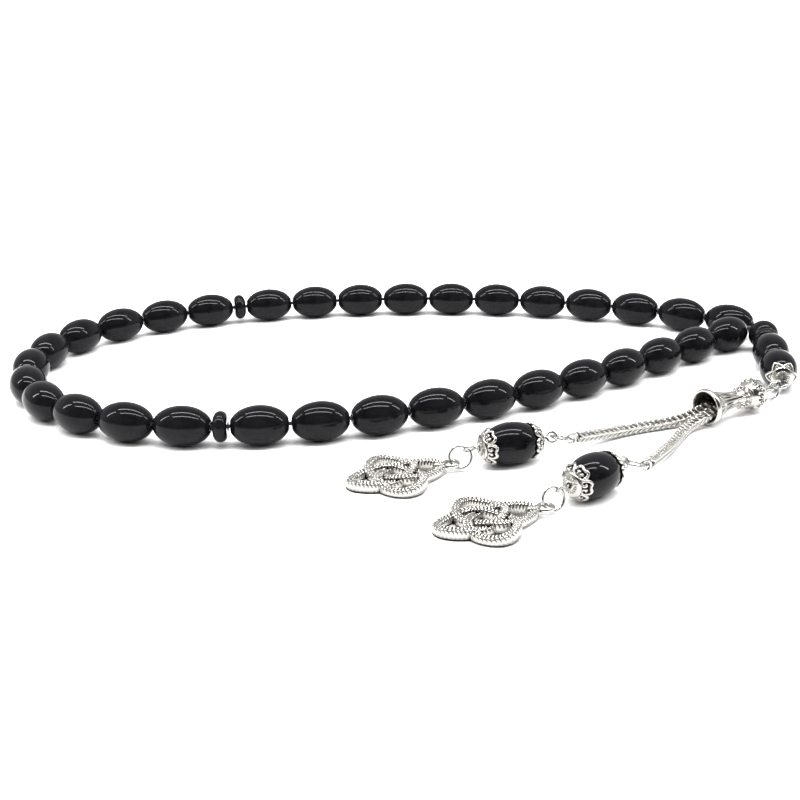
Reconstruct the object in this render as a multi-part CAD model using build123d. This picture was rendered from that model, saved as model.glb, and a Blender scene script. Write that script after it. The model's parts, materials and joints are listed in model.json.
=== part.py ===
from build123d import *

import os
from math import acos, asin, atan2, cos, degrees, pi, radians, sin, tan

# A misbaha: thirty-three barrel beads on one string, with a metal tassel of two pendants.
# It lies on a table as a long open loop.  Millimetres, +Z up, the table top at Z = 0, and the
# origin under the middle of the whole object.

# Beads: each one is an ellipse turned about its string and cut square at both ends.
BEAD_RADIUS = 4.0
BEAD_LENGTH = 11.4
BEAD_REACH = 6.0                 # half length of the ellipse before its ends are cut
DISC_RADIUS = 3.1
DISC_LENGTH = 2.8
DISC_FACE = 1.8                  # radius of its flat end faces
GURU_RADIUS = 3.4
GURU_LENGTH = 6.6
GURU_REACH = 3.6
BEADS_IN_A_SET = 11
SETS = 3
AXIS_HEIGHT = 4.0                # the string runs one bead radius above the table

# String and bores.
STRING_RADIUS = 0.4
LOOP_BORE = 0.75                 # radius of the hole that holds one pass of the string
TAIL_BORE = 1.15                 # radius of the hole that holds two passes side by side
LOOP_GAP = 0.5                   # room for two beads to turn against each other
TAIL_GAP = 0.3
STRING_SIDE = 0.45               # each pass in the tail lies this far off the middle
BORE_PLAY = 0.22                 # how far the string may bow inside a bore
RUN_SHARE = 0.47                 # share of a run that an arc may take up
HELD_SHARE = 0.4                 # of that, what an arc between two beads always has

# The loop follows a curve through these places, from the guru bead round to it again.
LOOP_GUIDE = [
    (80.5, 33.3), (56.9, 14.7), (27.9, -5.2), (-0.6, -17.2), (-28.8, -23.1), (-55.6, -20.1),
    (-75.6, -7.1), (-83.9, 14.0), (-79.5, 35.3), (-60.6, 52.5), (-34.6, 61.3), (-0.6, 64.5),
    (29.4, 61.3), (59.4, 51.3), (83.8, 36.7), (87.4, 34.1),
]

# The tail is the straight stretch from the guru bead to the leader cap.
TAIL_START = (84.6, 31.7)
TAIL_HEADING = -98.5             # degrees from +X
JOIN_LEAVE = 0.34                # where the sharp turn into the guru bead is cut across
JOIN_ENTER = 0.27

# Caps: bowls that follow a bead's end, with petals round their rims.
CAP_GAP = 0.06
CAP_WALL = 0.45
CAP_RIM = 4.0                    # how far the rim stands from the middle of its bead
CAP_SEAT = 0.04                  # between the bead's end face and the cap's floor
PETALS = 6
PETAL_NOTCH = 0.7
WINDOW_RADIUS = 0.36
WINDOW_BACK = 0.95                # from the rim towards the cap's floor
LEADER_CAP_HOLE = 1.05
PENDANT_CAP_HOLE = 0.42

# Knot at the end of the string, and its tie round the leader loop.
KNOT_RADIUS = 0.9
KNOT_FROM_BEAD = 6.5             # from the middle of the last tail bead
TIE_RADIUS = 0.9
TIE_WIRE = 0.28
TIE_PULL = 0.1                   # towards the knot, from the wire it goes round

# Wire rings, by the middle of the wire.
LEADER_LOOP_RADIUS = 1.25
LEADER_LOOP_WIRE = 0.38
LEADER_LOOP_CENTRE = (78.57, -4.23, 3.55)
LEADER_LOOP_NORMAL = (-0.27, -0.07, 0.96)
LINK_RING_RADIUS = 2.15
LINK_RING_WIRE = 0.33
LINK_RING_CENTRE = (76.61, -5.79, 2.94)
LINK_RING_NORMAL = (0.61, -0.79, -0.11)
JUMP_RADIUS = 2.05
JUMP_WIRE = 0.275

# Holder: a bell mouth, a waist and a ball, cast in one, with a pin along its middle.
HOLDER_MOUTH = (59.5, -17.1, 3.75)
HOLDER_HEADING = 32.3
HOLDER_LENGTH = 16.6
HOLDER_BORE = 0.36
PIN_WIRE = 0.28
PIN_OUTER_EYE = 1.1
PIN_INNER_EYE = 0.8
PIN_OUTER_ROLL = 13.0            # degrees that the outer eye is turned about the pin
PIN_INNER_AT = 4.9               # middle of the inner eye, behind the mouth
PIN_OUTER_AT = 18.1

# Chains: solid rods here, one chain radius thick.
CHAIN_RADIUS = 1.05
CHAIN_SIDE = 1.15                # each chain leaves the mouth this far off the middle
CHAIN_HINGE_AT = -0.9            # where the chain starts to bend, in front of the mouth
CHAIN_HINGE_HEIGHT = 2.4
CHAIN_CLEAR = 0.25               # from the bend to each of the two ends that meet there
TOP_START_AT = 3.1
TOP_START_HEIGHT = 3.35
TOP_LINK_RADIUS = 0.9
TOP_LINK_WIRE = 0.22
TOP_LINK_AT = 4.75               # where the top links pass through the pin's inner eye
TOP_LINK_SIDE = 0.27
END_LOOP_RADIUS = 0.95
END_LOOP_WIRE = 0.25

# Pendants: a capped bead on a pin with an eye at each end.
PENDANT_BORE = 0.34
PENDANT_WIRE = 0.25
PENDANT_EYE = 1.0
PENDANT_EYE_AT = 8.35
PENDANT_EYE_ROLL = -45.0         # of the eye that holds the jump ring
PENDANT_TOP_ROLL = 55.0          # of the eye that holds the end ring
END_RING_SPIN = -10.0            # of the end ring, about the line from loop to eye
JUMP_TURN = -18.0                # of the jump ring's plane, from the pin
JUMP_LEAN = -16.0
JUMP_RISE = 44.0                 # where the eye sits on the jump ring, above its middle
JUMP_FALL = 34.0                 # where the charm sits on the jump ring, below its middle
EYE_OFFSET = 0.16

# Charm: a flat interlaced knot of four lobes with a hanging loop at its point.
CHARM_THICKNESS = 2.0
CHARM_LENGTH = 20.5              # from the middle of the loop to the far lobe
CHARM_STRAND = 1.7
CHARM_HALF_LENGTH = 8.8
CHARM_HALF_WIDTH = 7.5
CHARM_CENTRE = -10.85
CHARM_INNER = 0.28               # share of the lobe's reach that the inner turns keep
CHARM_PINCH = 0.4
CHARM_CURL = 0.35                # how far each bight's turning lags, which makes its lobe narrow
CHARM_POINTS = 17                # along each of its four bights
CHARM_STEP = 0.01                # half the turn over which the strand's direction is taken, in radians
CHARM_NECK = (1.6, 1.3, 1.2)     # the bar between the knot and its hanging loop
CHARM_NECK_GAP = 0.2             # from the loop's middle line to the bar
CHARM_LOOP_RADIUS = 1.25
CHARM_LOOP_WIRE = 0.45

# Each pendant lies on the table with its own chain: places and headings in degrees.
PENDANTS = [
    {
        "chain": [(53.3, -18.2, 1.2), (44.9, -20.9, 1.12), (38.4, -24.4, 1.5), (31.8, -29.62, 2.85)],
        "side": 1,
        "bead": (19.26, -34.21),
        "heading": 18.0,
        "charm_heading": 20.0,
    },
    {
        "chain": [(55.8, -20.5, 1.35), (52.8, -25.3, 1.12), (48.7, -32.9, 1.3), (43.22, -42.34, 2.85)],
        "side": -1,
        "bead": (32.31, -49.36),
        "heading": 40.0,
        "charm_heading": 19.0,
    },
]


def along(heading, slope=0.0):
    """The unit vector that points at a heading from +X and rises by a slope, in degrees."""
    level = cos(radians(slope))
    return Vector(level * cos(radians(heading)), level * sin(radians(heading)), sin(radians(slope)))


def spot(centre, heading):
    """A place on the table plan, turned so that local X points at the heading."""
    return Location(tuple(centre), (0, 0, heading))


def wire_ring(centre, normal, radius, wire):
    """A closed ring of round wire."""
    return Plane(origin=tuple(centre), z_dir=tuple(normal)) * Torus(radius, wire)


def turned_bead(radius, reach, length, bore):
    """A bead turned about X: an ellipse cut square at both ends, with a straight bore."""
    half = length / 2
    cut = degrees(acos(half / reach))
    flank = EllipticalCenterArc((0, 0), reach, radius, cut, arc_size=180 - 2 * cut)
    sides = Polyline(flank @ 1, (-half, bore), (half, bore), flank @ 0)
    return revolve(make_face(flank + sides), Axis.X)


def turned_disc(bore):
    """A spacer disc turned about X, with a full round rim."""
    half = DISC_LENGTH / 2
    rim = ThreePointArc((half, DISC_FACE), (0, DISC_RADIUS), (-half, DISC_FACE))
    sides = Polyline(rim @ 1, (-half, bore), (half, bore), rim @ 0)
    return revolve(make_face(rim + sides), Axis.X)


def loop_sizes():
    """Kind and length of everything on the loop, in order along the string."""
    order = []
    for group in range(SETS):
        if group:
            order.append(("disc", DISC_LENGTH))
        order += [("bead", BEAD_LENGTH)] * BEADS_IN_A_SET
    return order


def step_along(guide, start, step):
    """The place on the guide that lies a straight step from the place `start`."""
    here = guide @ start
    near = start
    far = min(1.0, start + 2 * step / guide.length)
    for _ in range(40):
        middle = (near + far) / 2
        if (guide @ middle - here).length < step:
            near = middle
        else:
            far = middle
    return near


def loop_joins():
    """The places where one bead hands the string on to the next, all along the loop."""
    guide = Spline([Vector(x, y, AXIS_HEIGHT) for x, y in LOOP_GUIDE])
    place = 0.0
    joins = [guide @ place]
    for _, length in loop_sizes():
        place = step_along(guide, place, length + LOOP_GAP)
        joins.append(guide @ place)
    return joins


def tail(distance, side=0.0):
    """A place along the tail, `side` off its middle."""
    start = Vector(*TAIL_START, AXIS_HEIGHT)
    return start + along(TAIL_HEADING) * distance + along(TAIL_HEADING + 90) * side


def tail_middles():
    """How far the middle of each bead of the tail lies from the tail's start."""
    middles = []
    reached = 0.0
    for length in (GURU_LENGTH, DISC_LENGTH, BEAD_LENGTH, BEAD_LENGTH):
        middles.append(reached + length / 2)
        reached += length + TAIL_GAP
    return middles


def meeting(start, direction, other, other_direction):
    """Where two level lines cross."""
    gap = other - start
    cross = direction.X * other_direction.Y - direction.Y * other_direction.X
    share = (gap.X * other_direction.Y - gap.Y * other_direction.X) / cross
    return start + direction * share


def string_route(joins):
    """Corner points of the string: up the tail, round the loop and back down the tail."""
    knot = tail_middles()[-1] + KNOT_FROM_BEAD
    leaving = (joins[0] - joins[1]).normalized()
    arriving = (joins[-1] - joins[-2]).normalized()
    up_tail = along(TAIL_HEADING + 180)
    sharp = meeting(joins[0], leaving, tail(0, -STRING_SIDE), up_tail)
    gentle = meeting(joins[-1], arriving, tail(0, STRING_SIDE), up_tail)
    out = joins[0] + (sharp - joins[0]) * JOIN_LEAVE
    enter = tail(0, -STRING_SIDE) + (sharp - tail(0, -STRING_SIDE)) * JOIN_ENTER
    corners = [tail(knot, -STRING_SIDE), enter, out]
    corners += joins[1:-1]
    corners += [gentle, tail(knot, STRING_SIDE)]
    return corners


def corner_radius(before, corner, after, held=False):
    """The largest arc that fits the two runs; a held one also stays inside a bead's bore."""
    first = corner - before
    second = after - corner
    slope = tan(radians(first.get_angle(second)) / 2)
    reach = RUN_SHARE * min(first.length, second.length)
    if held:
        reach = min(reach, max(2 * BORE_PLAY / slope, HELD_SHARE * reach))
    return reach / slope


def rounded_tube(corners, radii, radius):
    """A round tube along straight runs joined by arcs."""
    path = FilletPolyline(*corners, radius=radii)
    section = Plane(origin=path @ 0, z_dir=path % 0) * Circle(radius)
    return sweep(section, path), path


def string(joins):
    """The string, its end knot, and the tie that holds the leader loop."""
    corners = string_route(joins)
    radii = [corner_radius(*corners[i - 1:i + 2], held=i > 2) for i in range(1, len(corners) - 1)]
    cord, path = rounded_tube(corners, radii, STRING_RADIUS)
    print(f"string: {path.length:.1f} mm, arcs from {min(radii):.2f} mm")
    knot_place = tail(tail_middles()[-1] + KNOT_FROM_BEAD)
    knot = Pos(*knot_place) * Sphere(KNOT_RADIUS)
    centre = Vector(*LEADER_LOOP_CENTRE)
    normal = Vector(*LEADER_LOOP_NORMAL).normalized()
    towards = knot_place - centre
    towards = (towards - normal * towards.dot(normal)).normalized()
    crossing = centre + towards * LEADER_LOOP_RADIUS
    reach = (knot_place - crossing).normalized()
    tie_normal = towards.cross(normal)
    tie = wire_ring(crossing + reach * TIE_PULL, tie_normal, TIE_RADIUS, TIE_WIRE)
    return cord + knot + tie


def bowl(hole):
    """A cap's wall: a bowl round the end of a bead that points along X."""
    inner_reach = BEAD_REACH + CAP_GAP
    inner_radius = BEAD_RADIUS + CAP_GAP
    outer_reach = inner_reach + CAP_WALL
    outer_radius = inner_radius + CAP_WALL
    seat = BEAD_LENGTH / 2 + CAP_SEAT
    outer_start = degrees(asin(hole / outer_radius))
    outer_turn = degrees(acos(CAP_RIM / outer_reach)) - outer_start
    inner_start = degrees(acos(seat / inner_reach))
    inner_turn = degrees(acos(CAP_RIM / inner_reach)) - inner_start
    outer = EllipticalCenterArc((0, 0), outer_reach, outer_radius, outer_start, arc_size=outer_turn)
    inner = EllipticalCenterArc((0, 0), inner_reach, inner_radius, inner_start, arc_size=inner_turn)
    floor = Polyline(outer @ 0, (seat, hole), inner @ 0)
    rim = Line(outer @ 1, inner @ 1)
    return revolve(make_face(outer + rim + inner + floor), Axis.X)


def cap(hole, windows):
    """A petalled cap for the end of a bead that points along X."""
    body = bowl(hole)
    tool_length = 2 * BEAD_RADIUS
    for petal in range(PETALS):
        turn = Rot(X=360 * (petal + 0.5) / PETALS)
        body -= turn * Pos(CAP_RIM, 0, tool_length / 2) * Cylinder(PETAL_NOTCH, tool_length)
        if windows:
            turn = Rot(X=360 * petal / PETALS)
            window = Pos(CAP_RIM + WINDOW_BACK, 0, tool_length / 2) * Cylinder(WINDOW_RADIUS, tool_length)
            body -= turn * window
    return body


def holder_place():
    """The holder's own frame: X runs back from the middle of its mouth."""
    return spot(HOLDER_MOUTH, HOLDER_HEADING)


def holder():
    """The bell, waist and ball, hollow behind the mouth and bored for the pin."""
    lip = ThreePointArc((0, 3.55), (0.65, 3.75), (1.3, 3.4))
    bell = ThreePointArc((1.3, 3.4), (4.6, 2.35), (8.4, 1.72))
    collar = ThreePointArc((8.4, 1.72), (9.7, 2.35), (10.9, 2.3))
    ball = ThreePointArc((10.9, 2.3), (13.6, 3.4), (16.5, 1.0))
    back = Polyline((16.5, 1.0), (HOLDER_LENGTH, 0.8), (HOLDER_LENGTH, HOLDER_BORE), (6.7, HOLDER_BORE))
    hollow = Polyline((6.7, HOLDER_BORE), (6.3, 1.3), (3.0, 2.55), (0, 3.15), (0, 3.55))
    outline = make_face(lip + bell + collar + ball + back + hollow)
    return holder_place() * revolve(outline, Axis.X)


def holder_pin():
    """The wire through the holder, with an eye outside the ball and one inside the bell."""
    start = PIN_INNER_AT + PIN_INNER_EYE
    length = PIN_OUTER_AT - PIN_OUTER_EYE - start
    body = Pos(start + length / 2, 0, 0) * Rot(Y=90) * Cylinder(PIN_WIRE, length)
    body += Pos(PIN_INNER_AT, 0, 0) * Torus(PIN_INNER_EYE, PIN_WIRE)
    body += Pos(PIN_OUTER_AT, 0, 0) * Rot(X=-PIN_OUTER_ROLL) * Torus(PIN_OUTER_EYE, PIN_WIRE)
    return holder_place() * body


def chain_hinge(side):
    """Where a chain starts to bend, in front of the mouth."""
    inside = (holder_place() * Pos(CHAIN_HINGE_AT, side * CHAIN_SIDE, 0)).position
    return Vector(inside.X, inside.Y, CHAIN_HINGE_HEIGHT)


def chain_top(side):
    """The hidden first stretch of a chain, with the link that hooks into the pin's eye."""
    drop = TOP_START_HEIGHT - HOLDER_MOUTH[2]
    inner = (holder_place() * Pos(TOP_START_AT, side * CHAIN_SIDE, drop)).position
    hooked = (holder_place() * Pos(TOP_LINK_AT, side * TOP_LINK_SIDE, 0)).position
    outward = (chain_hinge(side) - inner).normalized()
    end = chain_hinge(side) - outward * CHAIN_CLEAR
    rod = Plane(origin=inner, z_dir=outward) * Cylinder(
        CHAIN_RADIUS, (end - inner).length, align=(Align.CENTER, Align.CENTER, Align.MIN)
    )
    back = (inner - hooked).normalized()
    across = back.cross(Vector(0, 0, 1))
    link = wire_ring(hooked + back * TOP_LINK_RADIUS, across, TOP_LINK_RADIUS, TOP_LINK_WIRE)
    return rod + link


def chain_route(pendant):
    """Corner points of a chain, from its bend in front of the mouth to its end."""
    hinge = chain_hinge(pendant["side"])
    points = [Vector(*point) for point in pendant["chain"]]
    start = hinge + (points[0] - hinge).normalized() * CHAIN_CLEAR
    return [start] + points


def chain_end_loop(pendant):
    """Middle of the loop at the free end of a chain."""
    points = chain_route(pendant)
    outward = (points[-1] - points[-2]).normalized()
    return points[-1] + outward * END_LOOP_RADIUS


def chain(pendant):
    """A chain as a rod of its outer size, with its end loop."""
    corners = chain_route(pendant)
    radii = [corner_radius(*corners[i - 1:i + 2]) for i in range(1, len(corners) - 1)]
    rod, path = rounded_tube(corners, radii, CHAIN_RADIUS)
    print(f"chain: {path.length:.1f} mm, arcs from {min(radii):.1f} mm")
    middle = chain_end_loop(pendant)
    across = (pendant_eye(pendant, 1) - middle).cross(Vector(0, 0, 1))
    return rod + wire_ring(middle, across, END_LOOP_RADIUS, END_LOOP_WIRE)


def pendant_place(pendant):
    """A pendant's own frame: X runs along its pin, towards the chain."""
    return spot((*pendant["bead"], AXIS_HEIGHT), pendant["heading"])


def pendant_eye(pendant, end):
    """Middle of the pin's eye: end 1 is towards the chain and end -1 towards the charm."""
    return (pendant_place(pendant) * Pos(end * PENDANT_EYE_AT, 0, 0)).position


def end_ring(pendant):
    """The ring that joins a chain's end loop to the pin."""
    loop = chain_end_loop(pendant)
    eye = pendant_eye(pendant, 1)
    axis = (loop - eye).normalized()
    level = axis.cross(Vector(0, 0, 1)).normalized()
    upright = level.cross(axis)
    spin = radians(END_RING_SPIN)
    normal = upright * cos(spin) + level * sin(spin)
    print(f"end ring: {(loop - eye).length:.2f} mm from eye to loop")
    return wire_ring((loop + eye) * 0.5, normal, JUMP_RADIUS, JUMP_WIRE)


def pendant_pin(pendant):
    """The pin through a pendant, with an eye at each end."""
    length = 2 * (PENDANT_EYE_AT - PENDANT_EYE)
    body = Rot(Y=90) * Cylinder(PENDANT_WIRE, length)
    body += Pos(PENDANT_EYE_AT, 0, 0) * Rot(X=PENDANT_TOP_ROLL) * Torus(PENDANT_EYE, PENDANT_WIRE)
    body += Pos(-PENDANT_EYE_AT, 0, 0) * Rot(X=PENDANT_EYE_ROLL) * Torus(PENDANT_EYE, PENDANT_WIRE)
    return pendant_place(pendant) * body


def pendant_caps(pendant):
    """Both caps of a pendant's bead."""
    one = cap(PENDANT_CAP_HOLE, windows=True)
    return pendant_place(pendant) * Compound(children=[one, Rot(Z=180) * one])


def jump_ring_frame(pendant):
    """Middle of the jump ring and its two directions: level and away, and upward."""
    away = along(pendant["heading"] + JUMP_TURN + 180)
    level = away.cross(Vector(0, 0, 1))
    lean = radians(JUMP_LEAN)
    upward = Vector(0, 0, 1) * cos(lean) - level * sin(lean)
    eye = pendant_eye(pendant, -1) - along(pendant["heading"]) * EYE_OFFSET
    rise = radians(JUMP_RISE)
    middle = eye + (away * cos(rise) - upward * sin(rise)) * JUMP_RADIUS
    return middle, away, upward


def jump_ring(pendant):
    """The ring that joins the pin's lower eye to the charm."""
    middle, away, upward = jump_ring_frame(pendant)
    return wire_ring(middle, away.cross(upward), JUMP_RADIUS, JUMP_WIRE)


def charm_hole(pendant):
    """Where the jump ring passes through the charm's loop."""
    middle, away, upward = jump_ring_frame(pendant)
    fall = radians(JUMP_FALL)
    return middle + (away * cos(fall) - upward * sin(fall)) * JUMP_RADIUS


def knot_point(turn):
    """A place on the middle line of the charm's one strand, which goes round three times."""
    reach = (1 + CHARM_INNER) / 2 + (1 - CHARM_INNER) / 2 * cos(4 * turn / 3)
    heading = turn - CHARM_CURL * sin(4 * turn / 3)
    x = reach * cos(heading)
    y = reach * sin(heading)
    y *= 1 - CHARM_PINCH * max(0.0, x) ** 2
    return CHARM_CENTRE + CHARM_HALF_LENGTH * x, CHARM_HALF_WIDTH * y


def charm_edge(number, side):
    """One edge of a bight of the strand: side 1 is on its left and side -1 on its right."""
    places = []
    for step in range(CHARM_POINTS):
        turn = 1.5 * pi * (number + step / (CHARM_POINTS - 1))
        ahead = Vector(*knot_point(turn + CHARM_STEP)) - Vector(*knot_point(turn - CHARM_STEP))
        across = Vector(-ahead.Y, ahead.X).normalized()
        places.append(Vector(*knot_point(turn)) + across * side * CHARM_STRAND / 2)
    return Spline(places)


def charm_bight(number):
    """One lobe of the charm's strand, as a flat band."""
    left = charm_edge(number, 1)
    right = charm_edge(number, -1)
    ends = [Line(left @ 0, right @ 0), Line(left @ 1, right @ 1)]
    return make_face([left, right] + ends)


def charm_blank():
    """The charm in its own frame: the middle of the hanging loop's hole is at the origin."""
    outline = charm_bight(0)
    for number in range(1, 4):
        outline += charm_bight(number)
    knot = extrude(outline, CHARM_THICKNESS / 2, both=True)
    neck_end = -(CHARM_LOOP_RADIUS + CHARM_NECK_GAP)
    neck = Pos(neck_end, 0, 0) * Box(*CHARM_NECK, align=(Align.MAX, Align.CENTER, Align.CENTER))
    return knot + neck + Torus(CHARM_LOOP_RADIUS, CHARM_LOOP_WIRE)


def charm(pendant, blank):
    """A charm that rests on its far lobe, with its loop lifted by the jump ring."""
    hole = charm_hole(pendant)
    tilt = degrees(asin((hole.Z - CHARM_THICKNESS / 2) / CHARM_LENGTH))
    place = spot(hole, pendant["charm_heading"]) * Rot(Y=-tilt)
    return place * blank


def build():
    """Every sub-part by name."""
    nodes = {}
    joins = loop_joins()
    nodes["string"] = string(joins)
    bead = turned_bead(BEAD_RADIUS, BEAD_REACH, BEAD_LENGTH, LOOP_BORE)
    disc = turned_disc(LOOP_BORE)
    count = {"bead": 0, "disc": 0}
    for (kind, _), before, after in zip(loop_sizes(), joins, joins[1:]):
        count[kind] += 1
        name = f"bead_{count[kind]:02d}" if kind == "bead" else f"spacer_disc_{count[kind]}"
        heading = degrees(atan2(after.Y - before.Y, after.X - before.X))
        nodes[name] = spot((before + after) * 0.5, heading) * (bead if kind == "bead" else disc)

    middles = tail_middles()
    tail_beads = {
        "guru_bead": turned_bead(GURU_RADIUS, GURU_REACH, GURU_LENGTH, TAIL_BORE),
        "spacer_disc_3": turned_disc(TAIL_BORE),
        "leader_bead_1": turned_bead(BEAD_RADIUS, BEAD_REACH, BEAD_LENGTH, TAIL_BORE),
        "leader_bead_2": turned_bead(BEAD_RADIUS, BEAD_REACH, BEAD_LENGTH, TAIL_BORE),
    }
    for (name, shape), middle in zip(tail_beads.items(), middles):
        nodes[name] = spot(tail(middle), TAIL_HEADING) * shape
    nodes["leader_cap"] = spot(tail(middles[-1]), TAIL_HEADING) * cap(LEADER_CAP_HOLE, windows=False)

    nodes["leader_loop"] = wire_ring(
        LEADER_LOOP_CENTRE, LEADER_LOOP_NORMAL, LEADER_LOOP_RADIUS, LEADER_LOOP_WIRE
    )
    nodes["link_ring"] = wire_ring(LINK_RING_CENTRE, LINK_RING_NORMAL, LINK_RING_RADIUS, LINK_RING_WIRE)
    nodes["tassel_holder"] = holder()
    nodes["holder_pin"] = holder_pin()
    nodes["chain_tops"] = Compound(children=[chain_top(1), chain_top(-1)])

    pendant_bead = turned_bead(BEAD_RADIUS, BEAD_REACH, BEAD_LENGTH, PENDANT_BORE)
    blank = charm_blank()
    for number, pendant in enumerate(PENDANTS, start=1):
        nodes[f"chain_{number}"] = chain(pendant)
        nodes[f"end_ring_{number}"] = end_ring(pendant)
        nodes[f"pendant_pin_{number}"] = pendant_pin(pendant)
        nodes[f"pendant_bead_{number}"] = pendant_place(pendant) * pendant_bead
        nodes[f"pendant_caps_{number}"] = pendant_caps(pendant)
        nodes[f"jump_ring_{number}"] = jump_ring(pendant)
        nodes[f"charm_{number}"] = charm(pendant, blank)
    return nodes


os.makedirs("parts", exist_ok=True)
for node_name, node_shape in build().items():
    export_step(node_shape, f"parts/{node_name}.step")
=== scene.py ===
import json
from math import acos, asin, atan2, cos, pi, radians, sin, sqrt

import bpy
import numpy as np
from mathutils import Matrix, Vector


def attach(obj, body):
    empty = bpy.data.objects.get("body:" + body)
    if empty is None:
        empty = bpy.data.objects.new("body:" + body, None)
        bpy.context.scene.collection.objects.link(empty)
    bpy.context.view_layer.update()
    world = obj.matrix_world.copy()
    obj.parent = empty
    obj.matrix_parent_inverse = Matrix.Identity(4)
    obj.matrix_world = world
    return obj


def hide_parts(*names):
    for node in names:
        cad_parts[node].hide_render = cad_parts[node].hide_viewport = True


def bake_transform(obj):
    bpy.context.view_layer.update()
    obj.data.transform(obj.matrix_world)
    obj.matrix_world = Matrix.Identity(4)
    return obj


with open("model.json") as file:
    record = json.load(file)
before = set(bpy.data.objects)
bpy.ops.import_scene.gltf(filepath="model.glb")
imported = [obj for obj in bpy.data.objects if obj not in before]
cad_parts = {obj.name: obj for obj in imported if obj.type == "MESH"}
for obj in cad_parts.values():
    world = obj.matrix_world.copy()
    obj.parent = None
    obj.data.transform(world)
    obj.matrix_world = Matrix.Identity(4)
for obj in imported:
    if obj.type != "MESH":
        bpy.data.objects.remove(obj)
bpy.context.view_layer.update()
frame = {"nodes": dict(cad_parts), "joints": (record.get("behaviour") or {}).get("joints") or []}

# A misbaha on a white table: every piece is built here in millimetres, in the frame of the CAD
# model, and scaled to metres as it becomes an object.
MM = 0.001

# Sizes that repeat the CAD model's.
BEAD = {"radius": 4.0, "reach": 6.0, "length": 11.4}
DISC = {"radius": 3.1, "face": 1.8, "length": 2.8}
GURU = {"radius": 3.4, "reach": 3.6, "length": 6.6}
LOOP_BORE = 0.75
TAIL_BORE = 1.15
PENDANT_BORE = 0.34
CAP_INNER_REACH = 6.06
CAP_INNER_RADIUS = 4.06
CAP_WALL = 0.45
CAP_RIM = 4.0
PETALS = 6
CAP_LINE_STEP = 0.09
EYE_AT = 8.35                    # of a pendant pin's eyes, from the middle of its bead

# Each pendant's chain, as in the CAD model, from inside the holder to its free end.
CHAIN_ROUTES = [
    [(53.3, -18.2, 1.2), (44.9, -20.9, 1.12), (38.4, -24.4, 1.5), (31.8, -29.62, 2.85)],
    [(55.8, -20.5, 1.35), (52.8, -25.3, 1.12), (48.7, -32.9, 1.3), (43.22, -42.34, 2.85)],
]
CHARM_HEADINGS = [20.0, 19.0]

# Camera: where the photograph was taken from.
CAMERA_PLACE = (-1.25, -244.8, 92.65)
CAMERA_PITCH = -20.72
CAMERA_ROLL = 1.02
CAMERA_LENS = 55.15


# ---------------------------------------------------------------- shapes
# A shape is a pair: its points as an array, and its faces as lists of point numbers.

def joined(shapes):
    """Several shapes as one."""
    points = []
    faces = []
    start = 0
    for shape_points, shape_faces in shapes:
        points.append(shape_points)
        faces += [[index + start for index in face] for face in shape_faces]
        start += len(shape_points)
    return np.vstack(points), faces


def moved(shape, matrix):
    """The shape, turned and moved by a 4 x 4 matrix."""
    points, faces = shape
    matrix = np.array(matrix, float)
    return points @ matrix[:3, :3].T + matrix[:3, 3], faces


def grid_faces(rows, columns, wrap_rows, wrap_columns):
    """Quads over a grid of points, closed up along either way."""
    faces = []
    for row in range(rows if wrap_rows else rows - 1):
        below = (row + 1) % rows
        for column in range(columns if wrap_columns else columns - 1):
            right = (column + 1) % columns
            faces.append([
                row * columns + column, row * columns + right,
                below * columns + right, below * columns + column,
            ])
    return faces


def lathe(profile, sides):
    """A closed profile of (x, radius) turned about X."""
    turns = np.linspace(0, 2 * pi, sides, endpoint=False)
    profile = np.array(profile, float)
    points = np.stack([
        np.repeat(profile[:, :1], sides, axis=1),
        profile[:, 1:] * np.cos(turns),
        profile[:, 1:] * np.sin(turns),
    ], axis=2)
    return points.reshape(-1, 3), grid_faces(len(profile), sides, True, True)


def unit(vectors):
    """Each vector at length 1."""
    return vectors / np.linalg.norm(vectors, axis=-1, keepdims=True)


def directions(path, closed):
    """The way that a path runs at each of its points."""
    if closed:
        return unit(np.roll(path, -1, axis=0) - np.roll(path, 1, axis=0))
    return unit(np.gradient(path, axis=0))


def carried_frames(path, closed):
    """Two cross directions at each point of a path, carried along it without twisting."""
    ahead = directions(path, closed)
    start = np.cross(ahead[0], (0, 0, 1) if abs(ahead[0][2]) < 0.9 else (1, 0, 0))
    side = [start / np.linalg.norm(start)]
    for way in ahead[1:]:
        turned = side[-1] - way * (side[-1] @ way)
        side.append(turned / np.linalg.norm(turned))
    side = np.array(side)
    upward = np.cross(ahead, side)
    if closed:
        slip = atan2(side[0] @ upward[-1], side[0] @ side[-1])
        share = (np.arange(len(path)) / len(path) * slip)[:, None]
        twisted = side * np.cos(share) + upward * np.sin(share)
        upward = upward * np.cos(share) - side * np.sin(share)
        side = twisted
    return side, upward


def tube(path, radius, sides=12, closed=False):
    """A round tube along a path; the radius is one number or one for each point."""
    path = np.array(path, float)
    side, upward = carried_frames(path, closed)
    radius = np.broadcast_to(np.asarray(radius, float), (len(path),))[:, None, None]
    turns = np.linspace(0, 2 * pi, sides, endpoint=False)[None, :, None]
    points = path[:, None] + radius * (np.cos(turns) * side[:, None] + np.sin(turns) * upward[:, None])
    faces = grid_faces(len(path), sides, closed, True)
    if not closed:
        last = (len(path) - 1) * sides
        faces.append(list(range(sides))[::-1])
        faces.append([last + index for index in range(sides)])
    return points.reshape(-1, 3), faces


def ball(centre, radius, rings=8, sides=12):
    """A small round ball."""
    polar = np.linspace(0, pi, rings + 1)[1:-1]
    profile = [(-radius * cos(a), radius * sin(a)) for a in polar]
    turns = np.linspace(0, 2 * pi, sides, endpoint=False)
    points = [(x, r * cos(t), r * sin(t)) for x, r in profile for t in turns]
    faces = grid_faces(len(profile), sides, False, True)
    last = (len(profile) - 1) * sides
    faces.append(list(range(sides))[::-1])
    faces.append([last + index for index in range(sides)])
    return np.array(points) + np.array(centre), faces


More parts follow.
